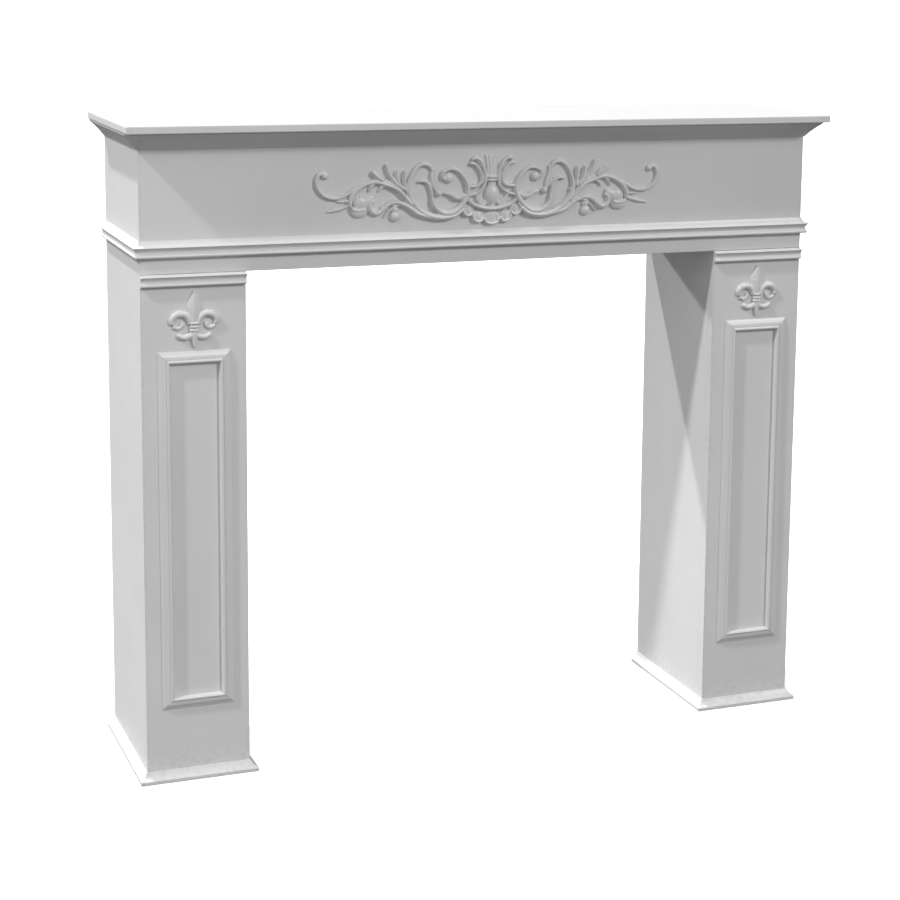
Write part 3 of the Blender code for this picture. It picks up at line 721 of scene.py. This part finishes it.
# %% Picture-frame moulding on each leg
PANEL_SIDE_MARGIN, PANEL_TOP_MARGIN, PANEL_BOTTOM = 0.025, 0.122, 0.119
PANEL_TOP = OPENING_HEIGHT - PANEL_TOP_MARGIN
PANEL_WIDTH = HALF_WIDTH - LEG_INSIDE_X - 2 * PANEL_SIDE_MARGIN
PANEL_HEIGHT = PANEL_TOP - PANEL_BOTTOM
STICKS = (("bottom", X, Z, PANEL_WIDTH, PANEL_HEIGHT), ("top", -X, -Z, PANEL_WIDTH, PANEL_HEIGHT),
          ("left", -Z, X, PANEL_HEIGHT, PANEL_WIDTH), ("right", Z, -X, PANEL_HEIGHT, PANEL_WIDTH))
for word, sign in SIDES:
    centre = Vector((sign * LEG_CENTRE_X, FACE_Y, PANEL_BOTTOM + PANEL_HEIGHT / 2))
    for place, along, inwards, length, span in STICKS:
        run_moulding("panel_" + word + "_" + place, stick_section, length,
                     axes(along, Y, inwards, centre - inwards * span / 2), frame_mitre=1.0)
print("each frame is", round(1000 * PANEL_WIDTH), "by", round(1000 * PANEL_HEIGHT), "mm")

# %% [markdown]
# The carvings are cast ornaments that are glued on: stems, leaves and buds that swell and taper. Sculpting
# by hand can't be scripted, and a flat cut-out has no relief. So each is drawn as strokes over a few points
# of its middle line. This helper runs an even, smooth curve through such points.

# %% A smooth line through a few points
CURVE_STEPS = 24


def smooth_path(points, spacing):
    """Evenly spaced points on a Catmull-Rom curve, and how far along it each one is."""
    points = [Vector(point) for point in points]
    ends = [points[0] * 2 - points[1]] + points + [points[-1] * 2 - points[-2]]
    path = []
    for a, b, c, d in zip(ends, ends[1:], ends[2:], ends[3:]):
        for i in range(CURVE_STEPS):
            t = i / CURVE_STEPS
            path.append(0.5 * (2 * b + (c - a) * t + (2 * a - 5 * b + 4 * c - d) * t * t
                               + (3 * b - a - 3 * c + d) * t ** 3))
    path = np.array([tuple(p) for p in path + [points[-1]]])
    run = np.concatenate([[0.0], np.cumsum(np.linalg.norm(np.diff(path, axis=0), axis=1))])
    wanted = np.linspace(0.0, run[-1], max(6, int(run[-1] / spacing)))
    return np.stack([np.interp(wanted, run, path[:, i]) for i in (0, 1)], axis=1), wanted


print("a stroke of 10 parts gets", len(smooth_path([(0, 0), (10, 0)], 0.9)[0]), "points")

# %% [markdown]
# What tells a leaf from a stem is its section. A veined leaf has a groove down its middle, a rolled one has
# raised edges, a keeled one has a ridge, and a fluted stem has several grooves side by side.

# %% Sections of a stroke
def section_height(kind, across):
    """How high a stroke stands, from 0 to 1, at a place across it from -1 to 1."""
    dome = np.sqrt(np.clip(1 - across ** 2, 0, 1))
    if kind == "veined":
        return dome * (1 - 0.42 * np.exp(-(across / 0.20) ** 2))
    if kind == "rolled":
        return dome * (0.58 + 0.9 * across ** 2 * (1.3 - across ** 2))
    if kind == "keeled":
        return 0.55 * dome + 0.45 * (1 - np.abs(across)) * dome ** 0.3
    if kind == "fluted":
        return dome * (0.80 + 0.20 * np.cos(5 * pi * across))
    return dome


middle = np.array([0.0])
print("height at the middle:", {kind: round(float(section_height(kind, middle)[0]), 2)
                                for kind in ("round", "veined", "rolled", "keeled", "fluted")})

# %% [markdown]
# A drawing holds the points and faces of one ornament. Its unit is one part of the ornament's own height,
# its u runs outwards from the centre line and its v upwards, so the same numbers serve any size.

# %% The drawing of an ornament
class Drawing:
    """Points and faces of an ornament that grows out of a face from its anchor."""

    def __init__(self, anchor, part, relief, spacing=0.9, sides=26):
        self.anchor, self.part, self.relief = Vector(anchor), part, relief
        self.spacing, self.sides = spacing, sides
        self.points, self.faces = [], []

    def place(self, u, v, out, side):
        return (self.anchor.x + side * u * self.part, self.anchor.y - out, self.anchor.z + v * self.part)

    def skin(self, first, rings, side):
        """Closes rings of points into a tube, with its faces turned out on both sides of the mirror."""
        faces = []
        for base in range(first, first + (rings - 1) * self.sides, self.sides):
            for k in range(self.sides):
                j = (k + 1) % self.sides
                faces.append((base + k, base + j, base + self.sides + j, base + self.sides + k))
        last = first + (rings - 1) * self.sides
        faces.append(tuple(range(first + self.sides - 1, first - 1, -1)))
        faces.append(tuple(range(last, last + self.sides)))
        self.faces += faces if side > 0 else [face[::-1] for face in faces]


print("a stroke has", Drawing((0, 0, 0), 1.0, 1.0).sides, "points round it")

# %% [markdown]
# A stroke sweeps its section along the smooth line. Half widths and heights are given at a few places and
# blended between. Each end closes in a round tip, unless it is blunt, such as a stem that is cut flat.

# %% Strokes
TIP_REACH, TIP_WIDTH, TIP_HEIGHT = 0.9, 0.02, 0.35
UNDERSIDE_DEPTH = 0.5


def stroke(drawing, points, widths, heights=(1.0,), kind="round", mirrored=True, blunt=False):
    path, run = smooth_path(points, drawing.spacing)
    share = run / run[-1]
    width = np.interp(share, np.linspace(0, 1, len(widths)), widths)
    heights = heights * 2 if len(heights) == 1 else heights
    height = np.interp(share, np.linspace(0, 1, len(heights)), heights) * drawing.relief
    if not blunt:
        tip = np.clip(np.minimum(run, run[-1] - run) / (width * TIP_REACH), 0, 1)
        tip = np.sqrt(np.clip(1 - (1 - tip) ** 2, TIP_WIDTH, 1))
        width, height = width * tip, height * (TIP_HEIGHT + (1 - TIP_HEIGHT) * tip)
    way = np.gradient(path, axis=0)
    way /= np.linalg.norm(way, axis=1)[:, None]
    angles = 2 * pi * np.arange(drawing.sides) / drawing.sides
    across = np.cos(angles)
    under = -UNDERSIDE_DEPTH * np.sqrt(1 - across ** 2 + 1e-9)
    out = np.where(np.sin(angles) >= 0, section_height(kind, across), under)
    for side in (-1, 1) if mirrored else (1,):
        first = len(drawing.points)
        for (u, v), (du, dv), w, h in zip(path, way, width, height):
            drawing.points += [drawing.place(u - dv * w * a, v + du * w * a, h * o, side)
                               for a, o in zip(across, out)]
        drawing.skin(first, len(path), side)


def ring(drawing, centre, radius, angles, widths, heights, turns=10):
    """A stroke round part of a circle, from one angle to another in degrees."""
    places = [radians(angles[0] + (angles[1] - angles[0]) * i / turns) for i in range(turns + 1)]
    points = [(centre[0] + radius * cos(t), centre[1] + radius * sin(t)) for t in places]
    stroke(drawing, points, widths, heights)


print("strokes and rings can be drawn")

# %% [markdown]
# Bosses, buds and shells are domes. A shell also has ribs, which fan out from its hinge at the top, so the
# dome's height is waved by the angle at which each point lies from there.

# %% Domes
HINGE = 1.2


def dome(drawing, centre, half_width, half_height, height=1.0, mirrored=True, ribs=0):
    for side in (-1, 1) if mirrored else (1,):
        builder = bmesh.new()
        bmesh.ops.create_uvsphere(builder, u_segments=48, v_segments=28, radius=1.0)
        first = len(drawing.points)
        for vertex in builder.verts:
            u, out, v = vertex.co
            if ribs:
                out *= 0.84 + 0.16 * cos(ribs * 2 * atan2(u, HINGE - v))
            drawing.points.append(drawing.place(centre[0] + u * half_width, centre[1] + v * half_height,
                                                out * height * drawing.relief, side))
        drawing.faces += [tuple(first + vertex.index for vertex in face.verts) for face in builder.faces]
        builder.free()


print("a shell's ribs fan out from a hinge", HINGE, "half heights above its middle")

# %% [markdown]
# The strokes overlap like loose sausages until a voxel remesh fuses them into one skin. A little smoothing
# then softens the joins, as coats of paint do.

# %% Fuse the strokes
def fused_mesh(drawing, name, grain, softening):
    mesh = bpy.data.meshes.new(name)
    mesh.from_pydata(drawing.points, [], drawing.faces)
    builder = bmesh.new()
    builder.from_mesh(mesh)
    bmesh.ops.recalc_face_normals(builder, faces=builder.faces)
    builder.to_mesh(mesh)
    builder.free()
    rough = bpy.data.objects.new(name, mesh)
    scene.collection.objects.link(rough)
    remesh = rough.modifiers.new("fuse", "REMESH")
    remesh.mode = "VOXEL"
    remesh.voxel_size = grain
    soften = rough.modifiers.new("soften", "SMOOTH")
    soften.factor = 0.5
    soften.iterations = softening
    made = bpy.data.meshes.new_from_object(rough.evaluated_get(bpy.context.evaluated_depsgraph_get()))
    bpy.data.objects.remove(rough)
    return made


print("overlapping strokes become one skin")

# %% [markdown]
# A glued ornament has a flat back. The skin is cut by a plane a hair off the board and the cut is filled,
# which leaves one closed solid.

# %% Flatten the back
def flatten_back(made, back_y):
    """Cuts off what lies behind a plane and closes the cut. Gives the number of edges that stay open."""
    builder = bmesh.new()
    builder.from_mesh(made)
    everything = builder.verts[:] + builder.edges[:] + builder.faces[:]
    bmesh.ops.bisect_plane(builder, geom=everything, plane_co=(0, back_y, 0), plane_no=(0, 1, 0),
                           clear_outer=True, dist=1e-7)
    open_edges = [edge for edge in builder.edges if edge.is_boundary]
    bmesh.ops.triangle_fill(builder, edges=open_edges, use_beauty=True)
    bmesh.ops.recalc_face_normals(builder, faces=builder.faces)
    still_open = sum(1 for edge in builder.edges if not edge.is_manifold)
    builder.to_mesh(made)
    builder.free()
    return still_open


print("a carving's back lies", 1000 * JOINT_GAP, "mm off the board")

# %% [markdown]
# A carving with too many triangles is thinned, which costs nothing that can be seen. It then takes its
# paint, rides on the mantelpiece's one body, and stands for its CAD solid.

# %% Finish a carving
SCROLL_GRAIN, FLEUR_GRAIN = 0.0008, 0.0005
SCROLL_TRIANGLES, FLEUR_TRIANGLES = 190000, 60000


def finish_carving(drawing, name, node, grain, softening, most_triangles):
    made = fused_mesh(drawing, name, grain, softening)
    still_open = flatten_back(made, drawing.anchor.y - JOINT_GAP)
    made.shade_smooth()
    piece = bpy.data.objects.new(name, made)
    scene.collection.objects.link(piece)
    made.calc_loop_triangles()
    if len(made.loop_triangles) > most_triangles:
        thin = piece.modifiers.new("thin", "DECIMATE")
        thin.ratio = most_triangles / len(made.loop_triangles)
        thinned = bpy.data.meshes.new_from_object(piece.evaluated_get(bpy.context.evaluated_depsgraph_get()))
        piece.modifiers.clear()
        piece.data = thinned
    repaint(piece, ornament_paint)
    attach(piece, "root")
    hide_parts(node)
    piece.data.calc_loop_triangles()
    print(name, len(piece.data.loop_triangles), "triangles, open edges", still_open)


print("grain of the scroll and of the fleurs:", SCROLL_GRAIN, FLEUR_GRAIN)

# %% [markdown]
# The scroll on the header is drawn on 117 parts of its own height. It grows out of a fluted stem that is
# cut flat at the top, tied by two bars. Below it a boss with side leaves lies in a cradle over a ribbed
# shell.

# %% Scroll: the middle
SCROLL_TOP_GAP, SCROLL_BOTTOM_GAP, SCROLL_RELIEF, SCROLL_PARTS_HIGH = 0.0180, 0.0070, 0.009, 117
scroll_bottom = BAND_TOP + SCROLL_BOTTOM_GAP
scroll_part = (cove_bottom - SCROLL_TOP_GAP - scroll_bottom) / SCROLL_PARTS_HIGH
scroll = Drawing((0, FACE_Y, scroll_bottom + 4 * scroll_part), scroll_part, SCROLL_RELIEF)

stroke(scroll, [(0, 112), (0, 100), (0, 88), (0, 60), (0, 23)], (14, 9.5, 7.5, 7, 6), (0.5, 0.7, 0.8),
       "fluted", mirrored=False, blunt=True)
for v in (75.5, 70):
    stroke(scroll, [(-8.5, v), (8.5, v)], (2.3, 2.3), (1.0,), mirrored=False)
dome(scroll, (0, 45), 14, 18, 1.1, mirrored=False)
stroke(scroll, [(9, 31), (18, 34), (25, 41), (28, 50)], (4, 5, 4.5, 2), (0.7,), "veined")
stroke(scroll, [(-42, 38), (-34, 31.5), (-24, 27), (-12, 24), (0, 23), (12, 24), (24, 27), (34, 31.5),
                (42, 38)], (3.5, 4, 4, 4, 3.5), (1.1,), mirrored=False)
dome(scroll, (0, 8), 14.5, 12, 0.72, mirrored=False, ribs=5)
dome(scroll, (24, 10), 12, 10, 0.70, ribs=4)
dome(scroll, (41, 21), 11.5, 11.5, 0.70, ribs=4)
stroke(scroll, [(-12.5, 8), (-9.5, 0.5), (0, -2), (9.5, 0.5), (12.5, 8)], (2.2, 2.4, 2.2), (0.85,),
       mirrored=False)
ring(scroll, (24, 11), 9.3, (15, -165), (2, 2.4, 2.2), (0.85,))
ring(scroll, (41.5, 22), 9.4, (70, -150), (2, 2.4, 2.2), (0.85,))
print("one part of the scroll is", round(1000 * scroll_part, 2), "mm")

# %% [markdown]
# A volute of two nested C strokes stands on each side of the stem. Next to it is a ring that opens above,
# with a bulb at its open end, and a ball inside it from which an S leaf and a pointed leaf grow.

# %% Scroll: volutes and rings
stroke(scroll, [(40, 99), (31, 97), (24, 90), (19.5, 82), (18, 73), (20, 66), (27, 61), (40, 60)],
       (3, 3), (0.8,))
stroke(scroll, [(36, 104), (29, 107), (20, 101), (14, 89), (11.5, 76), (13, 64), (19, 55), (28, 49),
                (41, 45)], (3.1, 3.1), (0.8,))
stroke(scroll, [(79, 88), (71, 90), (62.5, 88), (53.5, 81), (46.5, 71), (42.5, 59.5), (43.3, 46.5),
                (50, 35), (58.4, 26), (68.5, 19), (79, 17.5), (89, 20), (98.5, 27.5), (103.5, 36),
                (104.5, 45.5)],
       (3, 3.2, 3.4, 3.8, 4, 4.2, 4.6, 5.2, 6, 6.5, 6.5, 5.5, 4.5, 4, 3.5),
       (0.7, 0.8, 0.9, 1.0, 1.1, 1.2, 1.2, 1.1, 0.9))
dome(scroll, (76.5, 74.5), 8, 8.5, 0.8)
stroke(scroll, [(79, 88), (86, 85), (87, 77), (82, 72)], (3, 3), (0.8,))
dome(scroll, (93.5, 50.5), 5.5, 5.5, 1.0)
stroke(scroll, [(84, 50), (75.5, 49), (69, 46), (62.5, 42.5), (54.5, 43), (46, 48)], (1.8, 4, 5, 5.5, 5, 4),
       (0.6, 0.8, 1.0, 1.0, 0.9))
stroke(scroll, [(96, 54), (100, 66), (104, 79), (102, 93)], (4, 6.5, 5.5, 2), (0.6,), "veined")
print("drawn so far:", len(scroll.points), "points")

# %% [markdown]
# The largest sweep is a C that starts over the ring, passes outside it and comes back under it to the
# shell. A leaf grows out of the ring and bends over inside the C.

# %% Scroll: the large C
stroke(scroll, [(105, 88), (109, 96), (121, 99), (133, 91.5), (141.5, 76), (144.5, 60), (141, 44),
                (130, 28.5), (115, 17.5), (97, 11.5), (79, 11), (63, 15), (50, 25)],
       (3, 4.5, 4, 3.6, 3.8, 4.2, 5, 6, 6, 5.5, 5, 4, 3.5), (0.6, 0.7, 0.7, 0.8, 0.9, 1.0, 1.2, 1.2, 1.1))
stroke(scroll, [(129, 70), (121, 71.5), (113, 68.5), (108.5, 61), (106, 52), (104.5, 43)],
       (2.2, 3, 3.5, 3.5, 3, 3), (0.75,))
print("drawn so far:", len(scroll.points), "points")

# %% [markdown]
# Outside the C, a stem waves outwards over a bud in its calyx, and a pointed leaf splits off below it.
# Above it stands a fan: a bud on a thin stem and three leaflets, all from one root.

# %% Scroll: the waving stem and the fan
stroke(scroll, [(104, 11), (128, 18), (138, 25), (148, 31.5), (158, 36), (167, 38), (176, 36.5), (184, 31),
                (190, 24)], (4, 4.2, 4.3, 4.5, 4.6, 4.6, 4.4, 4, 3.6), (1.0, 1.0, 0.9, 0.85))
stroke(scroll, [(158, 34), (169, 31), (179, 23), (188, 13)], (2.5, 3.2, 3, 1.6), (0.6, 0.7, 0.7, 0.5),
       "keeled")
dome(scroll, (168, 15), 9, 9, 0.9)
dome(scroll, (168, 26), 7, 5, 0.7)
stroke(scroll, [(172, 36), (170, 30), (168, 22)], (3, 2.6, 3), (0.7,))
FAN_ROOT = (149, 57)
stroke(scroll, [(137, 50), (143, 53), FAN_ROOT], (3, 3), (0.7,))
stroke(scroll, [FAN_ROOT, (165, 66), (186, 74)], (2.2, 2.2), (0.5,))
stroke(scroll, [(187, 72), (198, 80.5), (208, 89)], (4, 6.5, 4.5), (1.0,), "keeled")
for points, widths in (([(163, 66), (172, 75), (179, 86), (184, 101)], (2.5, 3.4, 4, 4, 2)),
                       ([(159, 65), (164.5, 76), (166, 90)], (2.5, 3.4, 4.2, 2.6)),
                       ([(151.5, 66), (152, 78), (152, 90)], (2.4, 3.2, 3.4, 2.2))):
    stroke(scroll, [FAN_ROOT] + points, widths, (0.85,), "keeled")
print("drawn so far:", len(scroll.points), "points")

# %% [markdown]
# The arched leaf is the scroll's last large form: a ridge that rises and turns over, two points that hang
# under it, a fat body with a rolled lobe, and a curl like a snail. A tendril with a bulb springs from the
# ridge, and two small leaves end the scroll.

# %% Scroll: the arched leaf and its tendril
stroke(scroll, [(139, 32), (146, 40), (155, 51), (166, 60), (182, 66.5), (200, 71.5), (215, 69.5),
                (229, 62.5), (239, 53), (244, 42), (243, 32)], (3.4, 4, 4, 4, 4, 4, 4.3, 4.5, 4.5, 4.5, 4),
       (1.0, 1.0, 1.0, 0.9, 0.85, 0.8, 0.75, 0.75, 0.75, 0.7))
stroke(scroll, [(184, 66), (192, 62), (197, 55)], (3.2, 3.4, 1.6), (0.7, 0.65, 0.5), "keeled")
stroke(scroll, [(201, 70), (209, 64), (213, 55)], (3.4, 3.6, 1.8), (0.7, 0.65, 0.5), "keeled")
stroke(scroll, [(204, 49), (212, 42.5), (222, 38), (238, 38)], (4, 9, 13, 9), (0.5, 0.7, 0.8, 0.7))
dome(scroll, (229, 24), 15, 10, 0.8)
stroke(scroll, [(243, 31), (236, 27), (227, 26.5), (217, 28)], (3.5, 3.5), (0.95,))
ring(scroll, (199.5, 32), 10.5, (75, -185), (3.4, 4.5, 5.5, 4.8, 3.6), (0.65, 0.8, 0.95, 0.8))
stroke(scroll, [(232, 63), (241, 58), (251, 52), (263, 47.5), (276, 47.5), (287, 52), (295.5, 60),
                (299.5, 70), (299, 80), (293.5, 87), (286, 86)],
       (3, 3.4, 3.6, 3.8, 3.8, 3.6, 3.4, 3.4, 3.4, 4, 5),
       (0.7, 0.7, 0.7, 0.6))
dome(scroll, (285.5, 83.5), 6, 6, 0.65)
stroke(scroll, [(243, 42), (256, 41), (267, 41.5)], (3, 2.8, 1.5), (0.6, 0.5, 0.35), "keeled")
stroke(scroll, [(242, 35), (254, 31.5), (265, 28.5), (274, 27), (283, 24.5)], (3, 3, 4.2, 3.6, 1.6),
       (0.55, 0.55, 0.6, 0.5, 0.35), "keeled")
finish_carving(scroll, "scroll_carving", "scroll_applique", SCROLL_GRAIN, 1, SCROLL_TRIANGLES)

# %% [markdown]
# A fleur-de-lis fills the space between the cap and the frame on each leg: a pointed middle petal with a
# keel, two petals that arch out and curl back, a binding of three rolls, two feet, and a stem that ends in
# a point.

# %% Carve the fleurs
FLEUR_TIP_GAP, FLEUR_FOOT_GAP, FLEUR_RELIEF, FLEUR_PARTS_HIGH = 0.0065, 0.0045, 0.0065, 100
fleur_bottom = PANEL_TOP + FLEUR_FOOT_GAP
fleur_part = (CAP_BOTTOM - FLEUR_TIP_GAP - fleur_bottom) / FLEUR_PARTS_HIGH
for word, sign in SIDES:
    fleur = Drawing((sign * LEG_CENTRE_X, FACE_Y, fleur_bottom), fleur_part, FLEUR_RELIEF)
    stroke(fleur, [(0, 99), (0, 90), (0, 82), (0, 73), (0, 62), (0, 50), (0, 40)],
           (1.5, 7, 11, 13, 11.5, 9, 7), (0.5, 0.8, 0.9, 1.0, 1.0, 0.9, 0.8), "keeled", mirrored=False)
    stroke(fleur, [(6, 40), (9.5, 51), (18, 58.5), (30, 58), (38, 49.5), (36, 40)],
           (4.5, 5.5, 6, 6.3, 6, 4.5), (0.8, 0.85, 0.95, 1.0, 0.85, 0.7))
    stroke(fleur, [(36, 40), (31.5, 36), (25.5, 35.5), (21, 39.5), (20, 46)], (4.2, 4, 4.2, 4.2, 3.8),
           (0.7, 0.6, 0.6, 0.65, 0.6))
    for v, half_width in ((43, 2.6), (37, 3), (31, 2.6)):
        stroke(fleur, [(-7.8, v), (7.8, v)], (half_width, half_width), (1.0,), mirrored=False)
    stroke(fleur, [(4, 24), (12, 19.5), (21, 19.5), (29, 25)], (5, 5.6, 5.2, 4.4), (0.8, 0.9, 0.9, 0.8))
    stroke(fleur, [(0, 32), (0, 20), (0, 10), (0, 1)], (7, 7.4, 5.6, 2.5), (0.9, 0.85, 0.7, 0.5),
           mirrored=False)
    finish_carving(fleur, "fleur_carving_" + word, "fleur_" + word, FLEUR_GRAIN, 2, FLEUR_TRIANGLES)
